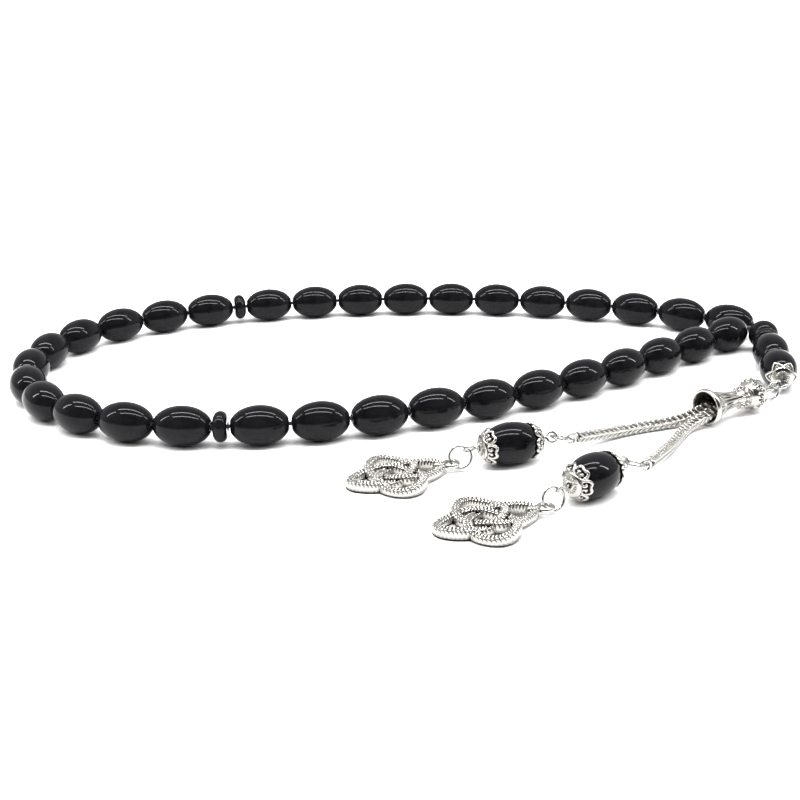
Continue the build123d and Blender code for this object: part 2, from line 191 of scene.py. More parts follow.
def circle(centre, normal, radius, count=72):
    """Points round a circle."""
    normal = np.array(normal, float) / np.linalg.norm(normal)
    side = np.cross(normal, (0, 0, 1) if abs(normal[2]) < 0.9 else (1, 0, 0))
    side /= np.linalg.norm(side)
    upward = np.cross(normal, side)
    turns = np.linspace(0, 2 * pi, count, endpoint=False)[:, None]
    return np.array(centre) + radius * (np.cos(turns) * side + np.sin(turns) * upward)


def smooth_path(guide, step):
    """Even points on a soft curve that starts and ends with the guide and cuts inside its corners."""
    data = bpy.data.curves.new("route", "CURVE")
    data.dimensions = "3D"
    data.resolution_u = 32
    spline = data.splines.new("NURBS")
    spline.points.add(len(guide) - 1)
    for point, place in zip(spline.points, guide):
        point.co = (*place, 1)
    spline.order_u = 3
    spline.use_endpoint_u = True
    holder = bpy.data.objects.new("route", data)
    mesh = bpy.data.meshes.new_from_object(holder)
    line = np.array([vertex.co for vertex in mesh.vertices])
    bpy.data.objects.remove(holder)
    bpy.data.curves.remove(data)
    bpy.data.meshes.remove(mesh)
    return even(line, step)


def even(line, step):
    """The same line with its points about one step apart."""
    reached = np.concatenate([[0], np.cumsum(np.linalg.norm(np.diff(line, axis=0), axis=1))])
    places = np.linspace(0, reached[-1], max(2, round(reached[-1] / step) + 1))
    return np.stack([np.interp(places, reached, line[:, axis]) for axis in range(3)], axis=1)


# ---------------------------------------------------------------- places from the frame

def joint_frame(name):
    """A matrix in millimetres at a joint, with X along its axis and Z as near up as it can be."""
    joint = next(one for one in frame["joints"] if one["name"] == name)
    along = Vector(joint["axis"]).normalized()
    side = Vector((0, 0, 1)).cross(along).normalized()
    upward = along.cross(side)
    matrix = Matrix((along, side, upward)).transposed().to_4x4()
    matrix.translation = Vector(joint["pos_m"]) / MM
    return matrix


def joint_place(name):
    """Where a joint is, in millimetres."""
    joint = next(one for one in frame["joints"] if one["name"] == name)
    return np.array(joint["pos_m"]) / MM


def node_points(node):
    """The points of a CAD node, in millimetres."""
    return np.array([vertex.co for vertex in frame["nodes"][node].data.vertices]) / MM


def fitted_ring(points):
    """Centre, normal, radius and wire radius of a ring, from the points on its surface."""
    centre = (points.min(axis=0) + points.max(axis=0)) / 2
    for _ in range(3):
        offsets = points - centre
        normal = np.linalg.svd(offsets, full_matrices=False)[2][2]
        flat = offsets - np.outer(offsets @ normal, normal)
        reach = np.linalg.norm(flat, axis=1)
        radius = (reach.max() + reach.min()) / 2
        centre = centre + (flat * (reach - radius)[:, None]).mean(axis=0)
    return centre, normal, radius, (reach.max() - reach.min()) / 2


# ---------------------------------------------------------------- materials

def shader(name, colour, **sockets):
    """A new material with its constant values set on the shader itself."""
    material = bpy.data.materials.new(name)
    material.use_nodes = True
    principled = material.node_tree.nodes["Principled BSDF"]
    principled.inputs["Base Color"].default_value = (*colour, 1)
    for socket, value in sockets.items():
        principled.inputs[socket.replace("_", " ")].default_value = value
    return material, material.node_tree, principled


def node(tree, kind, **values):
    """A new node, with its settings and its inputs by name."""
    made = tree.nodes.new(kind)
    for key, value in values.items():
        if key in made.inputs:
            made.inputs[key].default_value = value
        else:
            setattr(made, key, value)
    return made


def noise(tree, size, detail=3.0):
    """Noise with features of a given size in millimetres, fixed to the piece."""
    place = node(tree, "ShaderNodeTexCoord")
    made = node(tree, "ShaderNodeTexNoise", Scale=1 / (size * MM), Detail=detail)
    tree.links.new(place.outputs["Object"], made.inputs["Vector"])
    return made.outputs["Fac"]


def ramp(tree, source, stops):
    """A ramp from a value to a value or a colour."""
    made = node(tree, "ShaderNodeValToRGB")
    elements = made.color_ramp.elements
    while len(elements) < len(stops):
        elements.new(0.5)
    for element, (place, shade) in zip(elements, stops):
        element.position = place
        element.color = (*shade, 1) if isinstance(shade, tuple) else (shade, shade, shade, 1)
    tree.links.new(source, made.inputs["Fac"])
    return made.outputs["Color"]


def bump(tree, principled, source, depth):
    """Height in millimetres from a value."""
    made = node(tree, "ShaderNodeBump", Strength=1.0, Distance=depth * MM)
    tree.links.new(source, made.inputs["Height"])
    tree.links.new(made.outputs["Normal"], principled.inputs["Normal"])


def black_stone():
    """Black polished stone: almost no colour, a hard gloss, and faint marks in the polish."""
    material, tree, principled = shader("black_stone", (0.004, 0.004, 0.005), Roughness=0.06, IOR=1.22)
    tones = [(0.35, (0.003, 0.003, 0.004)), (0.75, (0.008, 0.008, 0.009))]
    cloud = ramp(tree, noise(tree, 2.6, 5.0), tones)
    tree.links.new(cloud, principled.inputs["Base Color"])
    polish = ramp(tree, noise(tree, 0.9, 6.0), [(0.4, 0.04), (0.8, 0.1)])
    tree.links.new(polish, principled.inputs["Roughness"])
    bump(tree, principled, noise(tree, 1.8, 2.0), 0.004)
    return material


def mottle_and_painted_shade(tree, principled, bright, dark, reach, low, high):
    """Bright metal with a faint random mottle and painted shade: its colour darkens where ambient
    occlusion finds its own shape shutting it in.
    """
    # painted shade: ambient occlusion darkens the base colour in recesses
    shut_in = node(tree, "ShaderNodeAmbientOcclusion", samples=12, Distance=reach * MM)
    mottle = noise(tree, 0.5, 4.0)
    mixed = node(tree, "ShaderNodeMath", operation="MULTIPLY_ADD")
    tree.links.new(mottle, mixed.inputs[0])
    mixed.inputs[1].default_value = 0.16
    tree.links.new(shut_in.outputs["AO"], mixed.inputs[2])
    colour = ramp(tree, mixed.outputs["Value"], [(low, dark), (high, bright)])
    tree.links.new(colour, principled.inputs["Base Color"])
    gloss = ramp(tree, mixed.outputs["Value"], [(low, 0.6), (high, 0.24)])
    tree.links.new(gloss, principled.inputs["Roughness"])


def cast_silver():
    """Cast metal with a silver finish and painted shade in its recesses."""
    material, tree, principled = shader("cast_silver", (0.8, 0.79, 0.76), Metallic=1.0)
    # painted shade: the near-black colour goes where ambient occlusion finds recesses
    mottle_and_painted_shade(tree, principled, (0.5, 0.487, 0.455), (0.012, 0.011, 0.01), 0.5, 0.66, 0.96)
    bump(tree, principled, noise(tree, 0.35, 4.0), 0.012)
    return material


def bright_wire():
    """Drawn silver wire, with painted shade where its own shape shuts it in."""
    material, tree, principled = shader("bright_wire", (0.93, 0.93, 0.92), Metallic=1.0)
    # painted shade: the darker colour goes where ambient occlusion finds recesses
    mottle_and_painted_shade(tree, principled, (0.44, 0.435, 0.42), (0.1, 0.097, 0.094), 0.5, 0.4, 0.85)
    bump(tree, principled, noise(tree, 0.4, 3.0), 0.004)
    return material


def chain_silver():
    """Fine chain wire, with shade between its links."""
    material, tree, principled = shader("chain_silver", (0.9, 0.9, 0.88), Metallic=1.0)
    # painted shade: the near-black colour goes where ambient occlusion finds gaps between links
    mottle_and_painted_shade(tree, principled, (0.6, 0.585, 0.55), (0.014, 0.013, 0.012), 0.8, 0.5, 0.86)
    return material


def painted_bell_shade():
    """Painted shade for the inside of the holder's bell: dark, rough metal with a random tone."""
    # painted shade: a near-black base colour for the inside of the bell
    material, tree, principled = shader(
        "painted_bell_shade", (0.03, 0.03, 0.028), Metallic=0.6, Roughness=0.6
    )
    tones = [(0.35, (0.012, 0.012, 0.011)), (0.75, (0.06, 0.057, 0.05))]
    tone = ramp(tree, noise(tree, 0.7, 4.0), tones)
    tree.links.new(tone, principled.inputs["Base Color"])
    bump(tree, principled, noise(tree, 0.3, 4.0), 0.02)
    return material


def black_cord():
    """Tightly laid black thread."""
    material, tree, principled = shader(
        "black_cord", (0.012, 0.012, 0.013), Roughness=0.75, Sheen_Weight=0.3
    )
    thread = noise(tree, 0.12, 4.0)
    tone = ramp(tree, thread, [(0.3, (0.004, 0.004, 0.004)), (0.7, (0.03, 0.03, 0.032))])
    tree.links.new(tone, principled.inputs["Base Color"])
    bump(tree, principled, thread, 0.06)
    return material


def white_table():
    """A plain white table top."""
    material, tree, principled = shader("white_table", (0.9, 0.9, 0.9), Roughness=0.6)
    principled.inputs["Specular IOR Level"].default_value = 0.1
    tones = [(0.3, (0.895, 0.895, 0.9)), (0.7, (0.905, 0.905, 0.905))]
    tone = ramp(tree, noise(tree, 40.0, 2.0), tones)
    tree.links.new(tone, principled.inputs["Base Color"])
    return material


# ---------------------------------------------------------------- objects

def thing(name, shape, material):
    """An object with smooth faces from a shape in millimetres."""
    points, faces = shape
    mesh = bpy.data.meshes.new(name)
    mesh.from_pydata((points * MM).tolist(), [], faces)
    mesh.shade_smooth()
    mesh.materials.append(material)
    made = bpy.data.objects.new(name, mesh)
    bpy.context.scene.collection.objects.link(made)
    return made


def piece(name, shape, material, slot, body, *replaced):
    """A piece of the object that rides on a body and stands for CAD nodes."""
    made = thing(name, shape, material)
    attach(made, body)
    if replaced:
        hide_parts(*replaced)
    return made


# ---------------------------------------------------------------- beads

BEAD_SIDES = 96
EDGE_ROUND = 0.3


def bead_profile(radius, reach, length, bore):
    """Half of a bead's outline, then mirrored: a long oval, a rounded edge, an end face and a bore."""
    half = length / 2
    turn = asin(min(1.0, (half - EDGE_ROUND) / reach))
    side = [(reach * sin(a), radius * cos(a)) for a in np.linspace(0, turn, 22)]
    corner = radius * sqrt(max(0.0, 1 - (half / reach) ** 2))
    start = np.array(side[-1])
    middle = np.array((half, corner + 0.05))
    end = np.array((half, corner - 0.45 * EDGE_ROUND))
    edge = [
        (1 - t) ** 2 * start + 2 * t * (1 - t) * middle + t ** 2 * end for t in np.linspace(0.15, 1, 7)
    ]
    mouth = [(half, bore + 0.14), (half - 0.04, bore + 0.05), (half - 0.14, bore)]
    right = [tuple(p) for p in side + edge + mouth]
    left = [(-x, r) for x, r in right[::-1]]
    return right + left[:-1]


def disc_shape(bore):
    """A spacer disc with a full round rim."""
    half = DISC["length"] / 2
    rim = arc_points((half, DISC["face"]), (0, DISC["radius"]), (-half, DISC["face"]), 40)
    bevel = 0.1
    hole = [
        (-half, bore + bevel), (-half + bevel, bore), (half - bevel, bore), (half, bore + bevel),
    ]
    return lathe(rim + hole, BEAD_SIDES)


def bead_shape(size, bore):
    """A bead with its string along X."""
    return lathe(bead_profile(size["radius"], size["reach"], size["length"], bore), BEAD_SIDES)


def string_beads(material):
    """Every bead and disc on the string; beads of one kind share a mesh."""
    kinds = {
        "bead": thing("loop_bead_form", bead_shape(BEAD, LOOP_BORE), material),
        "spacer": thing("loop_disc_form", disc_shape(LOOP_BORE), material),
        "guru": thing("guru_form", bead_shape(GURU, TAIL_BORE), material),
        "leader": thing("leader_form", bead_shape(BEAD, TAIL_BORE), material),
        "tail_disc": thing("tail_disc_form", disc_shape(TAIL_BORE), material),
    }
    for joint in frame["joints"]:
        if not joint["name"].startswith("spin_"):
            continue
        body = joint["child"]
        kind = "tail_disc" if body == "spacer_disc_3" else body.split("_")[0]
        made = bpy.data.objects.new(f"{body}_polished", kinds[kind].data)
        bpy.context.scene.collection.objects.link(made)
        matrix = joint_frame(joint["name"])
        matrix.translation = matrix.translation * MM
        made.matrix_world = matrix
        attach(made, body)
        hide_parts(body)
    for form in kinds.values():
        bpy.data.objects.remove(form)


# ---------------------------------------------------------------- caps

def cap_spot(across, out, lift, number):
    """A place on a cap: `out` runs from the neck (0) to the rim (1), `across` is in millimetres."""
    reach = CAP_INNER_REACH + 0.5 * CAP_WALL
    radius = CAP_INNER_RADIUS + 0.5 * CAP_WALL
    start = asin(0.85 / radius)
    end = acos(CAP_RIM / reach)
    turn = start + (end - start) * out
    x = reach * cos(turn)
    level = radius * sin(turn)
    outward = np.array((cos(turn) / reach, sin(turn) / radius))
    outward /= np.linalg.norm(outward)
    x += outward[0] * lift
    away = level + outward[1] * lift
    spin = 2 * pi * number / PETALS + across / max(level, 1.2)
    return np.stack([x, away * cos(spin), away * sin(spin)])


def cap_line(points, number):
    """A smooth line on a cap through places (across, out)."""
    neck_to_rim = 4.0
    guide = [(across, out * neck_to_rim, 0.0) for across, out in points]
    line = smooth_path(guide, CAP_LINE_STEP)
    return np.array([cap_spot(across, out / neck_to_rim, 0.0, number) for across, out, _ in line])


HEART = [                        # one side of a petal: from its curl, round its lobe, to the neck
    (0.62, 0.66), (0.42, 0.76), (0.26, 0.64), (0.34, 0.5), (0.75, 0.46), (1.18, 0.58),
    (1.3, 0.8), (1.02, 0.97), (0.55, 1.0), (0.12, 0.9),
]
NECK_ARM = [(0.34, 0.02), (0.42, 0.2), (0.62, 0.4), (0.78, 0.52)]
TIE_BAR = [(-1.55, 0.62), (-1.2, 0.36), (0, 0.28), (1.2, 0.36), (1.55, 0.62)]


def scroll_petal(number):
    """A petal of two scrolls that mirror each other, open between them."""
    parts = []
    for side in (-1, 1):
        for line, wire in ((HEART, 0.29), (NECK_ARM, 0.33)):
            turned = [(side * across, out) for across, out in line]
            parts.append(tube(cap_line(turned, number), wire, 10))
    parts.append(tube(cap_line(TIE_BAR, number), 0.2, 10))
    parts.append(ball(cap_spot(0, 0.93, 0.05, number), 0.27))
    return joined(parts)


def leaf_petal(number):
    """A pointed leaf with an oval recess."""
    outline = [(0.15, 0.0), (0.8, 0.2), (1.2, 0.42), (0.9, 0.64), (0.35, 0.8), (0.0, 0.88)]
    parts = []
    for side in (-1, 1):
        turned = [(side * across, out) for across, out in outline]
        parts.append(tube(cap_line(turned, number), 0.3, 10))
    hollow = [(0.4 * cos(a), 0.42 + 0.2 * sin(a)) for a in np.linspace(0, 2 * pi, 30)]
    parts.append(tube(cap_line(hollow, number), 0.24, 8))
    return joined(parts)


def cap_neck(hole):
    """The closed end of a cap: a small dished collar with a ring of grains."""
    profile = [
        (5.78, hole), (5.78, 1.9), (5.62, 2.3), (5.78, 2.42),
        (5.98, 2.1), (6.16, 1.5), (6.3, 1.2), (6.3, hole),
    ]
    parts = [lathe(profile, 60)]
    grains, away = 18, 1.38
    for index in range(grains):
        turn = 2 * pi * index / grains
        parts.append(ball((6.2, away * cos(turn), away * sin(turn)), 0.2, 6, 8))
    return joined(parts)


def cap_shape(hole, petal):
    """A cap for the end of a bead that points along X."""
    return joined([cap_neck(hole)] + [petal(number) for number in range(PETALS)])


# ---------------------------------------------------------------- holder

HOLDER_SECTORS = 6
HOLDER_ROWS = 230
HOLDER_COLUMNS = 62              # across one sector
HOLDER_OUTLINE = [               # the CAD outline: places that its arcs pass through
    [(0, 3.55), (0.65, 3.75), (1.3, 3.4)],
    [(1.3, 3.4), (4.6, 2.35), (8.4, 1.72)],
    [(8.4, 1.72), (9.7, 2.35), (10.9, 2.3)],
    [(10.9, 2.3), (13.6, 3.4), (16.5, 1.0)],
]


def arc_points(start, middle, end, count):
    """Points on the arc through three places of a plane."""
    (ax, ay), (bx, by), (cx, cy) = start, middle, end
    cross = 2 * (ax * (by - cy) + bx * (cy - ay) + cx * (ay - by))
    a2, b2, c2 = ax * ax + ay * ay, bx * bx + by * by, cx * cx + cy * cy
    x = (a2 * (by - cy) + b2 * (cy - ay) + c2 * (ay - by)) / cross
    y = (a2 * (cx - bx) + b2 * (ax - cx) + c2 * (bx - ax)) / cross
    first = atan2(ay - y, ax - x)
    turn = (atan2(cy - y, cx - x) - first) % (2 * pi)
    if (atan2(by - y, bx - x) - first) % (2 * pi) > turn:
        turn -= 2 * pi
    radius = sqrt((ax - x) ** 2 + (ay - y) ** 2)
    return [(x + radius * cos(first + turn * t), y + radius * sin(first + turn * t))
            for t in np.linspace(0, 1, count)]


def ridge(grid, line, width, height):
    """How high a rounded ridge along a line stands, over a grid of (along, across) places."""
    flat = grid.reshape(-1, 2)
    nearest = np.full(len(flat), 1e9)
    line = np.array(line, float)
    for start, end in zip(line, line[1:]):
        run = end - start
        share = np.clip(((flat - start) @ run) / max(run @ run, 1e-9), 0, 1)
        gap = flat - (start + share[:, None] * run)
        nearest = np.minimum(nearest, np.hypot(gap[:, 0], gap[:, 1]))
    shape = np.sqrt(np.clip(1 - (nearest / width) ** 2, 0, 1)) * height
    return shape.reshape(grid.shape[:2])


def spiral(centre, radius, turns, start, hand=1, count=44):
    """A flat spiral that ends at its middle."""
    line = []
    for t in np.linspace(0, 1, count):
        angle = start + hand * 2 * pi * turns * t
        reach = radius * (1 - 0.86 * t)
        line.append((centre[0] + reach * cos(angle), centre[1] + reach * sin(angle)))
    return line


def holder_relief(grid):
    """Ornament over one sector of the holder; across is in millimetres from the sector's middle."""
    height = np.zeros(grid.shape[:2])

    def add(line, width, tall):
        nonlocal height
        height = np.maximum(height, ridge(grid, line, width, tall))

    for side in (-1, 1):
        add([(2.7, side * 0.42), (5.5, side * 0.36), (8.6, side * 0.26)], 0.2, 0.34)
        add(spiral((2.75, side * 1.1), 0.5, 1.1, pi, side), 0.2, 0.36)
        add([(3.2, side * 1.28), (4.6, side * 1.05), (6.2, side * 0.8)], 0.18, 0.28)
        add(spiral((13.0, side * 0.95), 0.85, 1.35, 0.4 * pi, side), 0.2, 0.36)
        add([(14.0, side * 0.2), (14.9, side * 0.75), (15.9, side * 0.3)], 0.2, 0.3)
    add([(4.15, 1.35), (4.16, 1.36)], 0.3, 0.36)
    for petal in range(5):
        turn = 2 * pi * petal / 5
        place = (9.75 + 0.72 * cos(turn), 0.72 * sin(turn))
        add([place, (place[0] + 0.01, place[1])], 0.42, 0.42)
    add([(9.75, 0), (9.76, 0)], 0.34, 0.62)
    add([(11.25, -2.0), (11.25, 2.0)], 0.2, 0.26)
    add([(16.1, -2.0), (16.1, 2.0)], 0.22, 0.26)
    return height


def holder_shape():
    """The holder with its mouth at the origin and X running back from it."""
    outline = []
    for number, arc in enumerate(HOLDER_OUTLINE):
        outline += arc_points(*arc, 60)[1 if number else 0:]
    line = np.array([(x, r, 0) for x, r in outline])
    line = even(line, 16.9 * 1.12 / HOLDER_ROWS)[:, :2]
    along, radius = line[:, 0], line[:, 1]
    share = np.linspace(-0.5, 0.5, HOLDER_COLUMNS, endpoint=False)
    sector = 2 * pi / HOLDER_SECTORS
    grid = np.stack(np.broadcast_arrays(along[:, None], share[None] * sector * radius[:, None]), axis=2)
    sunk = 0.42 * np.clip((along - 1.5) / 0.35, 0, 1) * np.clip((16.5 - along) / 0.3, 0, 1)
    height = holder_relief(grid)
    level = radius[:, None] - sunk[:, None] + height * (sunk[:, None] > 0.01)
    level = np.tile(level, (1, HOLDER_SECTORS))
    columns = HOLDER_COLUMNS * HOLDER_SECTORS
    inside = [
        (16.6, 0.8), (16.6, 0.36), (6.7, 0.36), (6.3, 1.36),
        (3.0, 2.61), (0.25, 3.12), (0.03, 3.25), (0.0, 3.4),
    ]
    turns = np.linspace(0, 2 * pi, columns, endpoint=False)
    rows = np.concatenate([level, np.repeat([[r] for _, r in inside], columns, axis=1)])
    places = np.concatenate([along, [x for x, _ in inside]])
    points = np.stack([
        np.repeat(places[:, None], columns, axis=1), rows * np.cos(turns), rows * np.sin(turns)
    ], axis=2)
    return points.reshape(-1, 3), grid_faces(len(rows), columns, True, True)


def holder_shade_sheet():
    """A thin dark sheet inside the bell, from just behind its lip, that paints the shade in its mouth.
    """
    inner = [(0.3, 3.1), (1.5, 2.84), (3.0, 2.54), (4.1, 2.15), (5.2, 1.74), (6.28, 1.28), (6.6, 0.4)]
    outer = [(x, r + 0.03) for x, r in inner[::-1]]
    return lathe(inner + outer, 90)


# ---------------------------------------------------------------- pins, rings and links

def eye_pin(matrix, eyes, wire):
    """A straight wire with a bent eye at each end; `eyes` are (place along X, radius, normal)."""
    parts = []
    ends = []
    for place, radius, normal in eyes:
        inward = -1 if place > 0 and place == max(eye[0] for eye in eyes) else 1
        centre = np.array(matrix @ Vector((place, 0, 0)))
        axis = np.array(matrix.to_3x3() @ Vector((1, 0, 0)))
        normal = unit(np.array(normal))
        side = np.cross(normal, axis)
        start = pi if inward < 0 else 0
        turns = np.linspace(start, start + radians(338), 60)
        loop = centre + radius * (np.cos(turns)[:, None] * axis + np.sin(turns)[:, None] * side)
        parts.append(tube(loop, wire, 14))
        ends.append(loop[0])
    straight = np.linspace(ends[0], ends[1], 12)
    parts.append(tube(straight, wire, 14))
    return joined(parts)


def wire_ring(node_name):
    """A smooth ring in place of a CAD ring."""
    centre, normal, radius, wire = fitted_ring(node_points(node_name))
    return tube(circle(centre, normal, radius, 120), wire, 16, closed=True)


# ---------------------------------------------------------------- chains

LINK_STEP = 1.25
LINK_WIRE = 0.22
LINK_OUT = 0.7                   # from the chain's middle to the middle of a link
LINK_HALF_LENGTH = 0.85
LINK_HALF_WIDTH = 0.4
LINK_SLANT = 36.0                # degrees from the chain's run, opposite in neighbouring columns
CORE_RADIUS = 0.36
COLUMN_TURN = 65.0               # degrees; puts a seam between two columns towards the front
LINK_LEAN = 0.22                 # how far a link's front end stands out, as a slope
PATH_STEP = 0.1


def foxtail(path):
    """Four columns of slanting oval links, woven so tightly that each column looks like a plait."""
    line = even(path, PATH_STEP)
    ahead = directions(line, False)
    side, upward = carried_frames(line, False)
    turns = np.linspace(0, 2 * pi, 20, endpoint=False)[:, None]
    shapes = [tube(line, CORE_RADIUS, 10)]
    last = PATH_STEP * (len(line) - 1) - LINK_HALF_LENGTH
    for column in range(4):
        around = radians(COLUMN_TURN) + column * pi / 2
        slant = radians(LINK_SLANT) * (-1 if column % 2 else 1)
        start = LINK_HALF_LENGTH + (LINK_STEP / 2 if column % 2 else 0)
        for place in np.arange(start, last, LINK_STEP):
            index = int(round(place / PATH_STEP))
            outward = side[index] * cos(around) + upward[index] * sin(around)
            tangent = np.cross(ahead[index], outward)
            long_way = ahead[index] * cos(slant) + tangent * sin(slant) + outward * LINK_LEAN
            wide_way = np.cross(outward, long_way)
            middle = line[index] + outward * LINK_OUT
            loop = middle + np.cos(turns) * LINK_HALF_LENGTH * unit(long_way)
            loop = loop + np.sin(turns) * LINK_HALF_WIDTH * unit(wide_way)
            shapes.append(tube(loop, LINK_WIRE, 8, closed=True))
    return joined(shapes)


# ---------------------------------------------------------------- charms

CHARM_THICK = 2.0
CHARM_LENGTH = 20.5
CHARM_CENTRE = -10.85
CHARM_HALF_LENGTH = 8.8
CHARM_HALF_WIDTH = 7.5
CHARM_INNER = 0.28
CHARM_PINCH = 0.4
CHARM_CURL = 0.35
STRAND_STEPS = 2200
MILLING = 0.64                   # from one cut of the rope edge to the next


def knot_line():
    """The middle of the charm's strand, three times round, with its height at the crossings."""
    turn = np.linspace(0, 6 * pi, STRAND_STEPS, endpoint=False)
    reach = (1 + CHARM_INNER) / 2 + (1 - CHARM_INNER) / 2 * np.cos(4 * turn / 3)
    heading = turn - CHARM_CURL * np.sin(4 * turn / 3)
    x = reach * np.cos(heading)
    y = reach * np.sin(heading)
    y *= 1 - CHARM_PINCH * np.maximum(0.0, x) ** 2
    place = np.stack([CHARM_CENTRE + CHARM_HALF_LENGTH * x, CHARM_HALF_WIDTH * y], axis=1)
    return place, np.sin(8 * turn / 3)


ROPE_OUT = 0.46                  # from the strand's middle to the middle of each of its two ropes
ROPE_RADIUS = 0.4
CUT_DEPTH = 0.22
CROSSING_DROP = 0.3              # half of how far the strand dips where it passes under
BAND_DROP = 0.3                  # of the smooth band below the tops of the ropes
CUT_LEAN = 1.6                   # how far a cut turns along the rope as it goes over it
WALL_OUT = ROPE_OUT + ROPE_RADIUS * 0.8
SHOULDER_DROP = ROPE_RADIUS * 0.7


def strand():
    """The charm's strand: a smooth band between two milled ropes, woven over and under itself."""
    place, weave = knot_line()
    run = unit(np.roll(place, -1, axis=0) - np.roll(place, 1, axis=0))
    across = np.stack([-run[:, 1], run[:, 0]], axis=1)
    reached = np.cumsum(np.linalg.norm(np.roll(place, -1, axis=0) - place, axis=1))
    half = CHARM_THICK / 2
    rope_height = half - ROPE_RADIUS - CROSSING_DROP * (1 - weave)
    shoulder = rope_height - SHOULDER_DROP
    floor = rope_height + ROPE_RADIUS - BAND_DROP
    foot = np.full(len(place), -half)
    rows = [np.column_stack([place - across * WALL_OUT, height]) for height in (foot, shoulder)]
    for side in (-1, 1):
        bends = np.radians(np.linspace(215, 35, 15) if side < 0 else np.linspace(145, -35, 15))
        for bend in bends:
            cut = 0.5 + 0.5 * np.cos(2 * pi * reached / MILLING + side * CUT_LEAN * bend)
            radius = ROPE_RADIUS - CUT_DEPTH * cut ** 4
            out = side * ROPE_OUT + radius * cos(bend)
            height = rope_height + radius * sin(bend)
            if side * cos(bend) < 0:
                height = np.maximum(height, floor)
            rows.append(np.column_stack([place + across * out[:, None], height]))
    rows += [np.column_stack([place + across * WALL_OUT, height]) for height in (shoulder, foot)]
    points = np.stack(rows, axis=1)
    return points.reshape(-1, 3), grid_faces(len(place), len(rows), True, True)


def charm_loop():
    """The flat hanging loop and the neck that joins it to the knot."""
    loop_radius, loop_wire = 1.25, 0.45
    ring = tube(circle((0, 0, 0), (0, 0, 1), loop_radius, 60), loop_wire, 14, closed=True)
    neck = tube([(-1.4, 0, 0), (-2.0, 0, 0), (-2.6, 0, 0), (-3.4, 0, 0)], [0.5, 0.62, 0.75, 0.8], 14)
    return joined([ring, neck])


def charm_matrix(number):
    """Where a charm lies: its loop on the jump ring and its far lobe on the table."""
    hole = joint_place(f"charm_{number}_swing")
    tilt = asin((hole[2] - CHARM_THICK / 2) / CHARM_LENGTH)
    heading = Matrix.Rotation(radians(CHARM_HEADINGS[number - 1]), 4, "Z")
    return Matrix.Translation(hole) @ heading @ Matrix.Rotation(-tilt, 4, "Y")


# ---------------------------------------------------------------- the tassel

PENDANT_CAP_HOLE = 0.42
LEADER_CAP_HOLE = 1.05
PIN_EYE_RADIUS = 1.0
PIN_EYE_WIRE = 0.25
END_LOOP_RADIUS = 0.95           # of the wire loop at a chain's free end
END_LOOP_WIRE = 0.25

def pendant(number, stone, cast, wire, chain_metal):
    """One pendant: ring, pin, capped bead, ring and charm."""
    matrix = joint_frame(f"pendant_bead_{number}_spin")
    body = f"pendant_bead_{number}"
    bead = moved(bead_shape(BEAD, PENDANT_BORE), matrix)
    piece(f"pendant_stone_{number}", bead, stone, "black_stone", body, body)
    cap = cap_shape(PENDANT_CAP_HOLE, scroll_petal)
    caps = moved(joined([cap, moved(cap, Matrix.Rotation(pi, 4, "Z"))]), matrix)
    piece(f"filigree_caps_{number}", caps, cast, "antique_silver", body, f"pendant_caps_{number}")

    node_name = f"pendant_pin_{number}"
    local = moved((node_points(node_name), []), matrix.inverted())[0]
    eyes = []
    for end in (-1, 1):
        chosen = local[end * local[:, 0] > EYE_AT - 0.6]
        centre, normal, _, _ = fitted_ring(chosen)
        normal = np.array(matrix.to_3x3() @ Vector(normal))
        eyes.append((end * EYE_AT, PIN_EYE_RADIUS, normal))
    pin = eye_pin(matrix, eyes, PIN_EYE_WIRE)
    piece(node_name + "_wire", pin, wire, "antique_silver", node_name, node_name)
    for ring in ("end_ring", "jump_ring"):
        name = f"{ring}_{number}"
        piece(name + "_wire", wire_ring(name), wire, "antique_silver", name, name)
    shape = joined([strand(), charm_loop()])
    piece(f"charm_{number}_cast", moved(shape, charm_matrix(number)), cast, "antique_silver",
          f"charm_{number}", f"charm_{number}")


def chains(metal, wire):
    """Both chains, each one piece from inside the holder to its end loop."""
    mouth = joint_frame("holder_spin")
    for number, route in enumerate(CHAIN_ROUTES, start=1):
        side = 1 if number == 1 else -1
        hinge = joint_place(f"chain_{number}_swing")
        inner = np.array(mouth @ Vector((3.1, side * 1.15, -0.4)))
        guide = [inner, hinge] + [np.array(point) for point in route]
        path = smooth_path(guide, 0.1)
        shape = foxtail(path)
        made = thing(f"foxtail_chain_{number}", shape, metal)
        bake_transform(made)
        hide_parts(f"chain_{number}", "chain_tops")
        tip = np.array(route[-1])
        loop = tip + unit(tip - np.array(route[-2])) * END_LOOP_RADIUS
        eye = np.array(joint_frame(f"pendant_bead_{number}_spin") @ Vector((EYE_AT, 0, 0)))
        across = np.cross(eye - loop, (0, 0, 1))
        ring = tube(circle(loop, across, END_LOOP_RADIUS, 60), END_LOOP_WIRE, 12, closed=True)
        piece(f"chain_end_loop_{number}", ring, wire, "antique_silver", f"chain_{number}")


